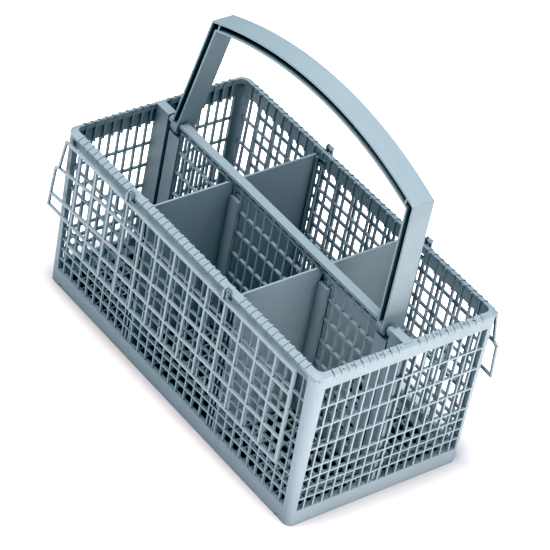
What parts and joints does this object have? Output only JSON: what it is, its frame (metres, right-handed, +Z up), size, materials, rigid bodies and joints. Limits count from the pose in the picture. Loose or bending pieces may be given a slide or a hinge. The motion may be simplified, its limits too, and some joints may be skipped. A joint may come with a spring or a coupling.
{
  "type": "dishwasher cutlery basket",
  "caption": "Grid-walled cutlery basket with a centre partition, slide-in dividers, a folding carrying handle and fold-over cutlery grids hung on the long sides.",
  "frame": {"origin": "centre of the basket's footprint at the plane it stands on", "axes": "+X along the long side, +Y across the basket away from the near flap, +Z up"},
  "size_m": [0.2458, 0.1344, 0.199],
  "materials": {
    "tub_plastic": "satin moulded polypropylene, light blue-grey"
  },
  "bodies": {
    "tub": {"basket_body": "tub_plastic", "centre_partition": "tub_plastic", "divider_near_left": "tub_plastic", "divider_near_right": "tub_plastic", "divider_far_left": "tub_plastic", "divider_far_right": "tub_plastic"},
    "handle": {"handle": "tub_plastic"},
    "near_flap": {"near_flap": "tub_plastic"},
    "far_flap": {"far_flap": "tub_plastic"}
  },
  "joints": [
    {"name": "handle_swing", "type": "hinge", "parent": "tub", "child": "handle", "pos_m": [0, 0, 0.1073], "axis": [1, 0, 0], "range_deg": [0, 86]},
    {"name": "near_flap_swing", "type": "hinge", "parent": "tub", "child": "near_flap", "pos_m": [0, -0.065, 0.1113], "axis": [-1, 0, 0], "range_deg": [0, 84]},
    {"name": "far_flap_swing", "type": "hinge", "parent": "tub", "child": "far_flap", "pos_m": [0, 0.065, 0.1113], "axis": [1, 0, 0], "range_deg": [0, 215]}
  ]
}
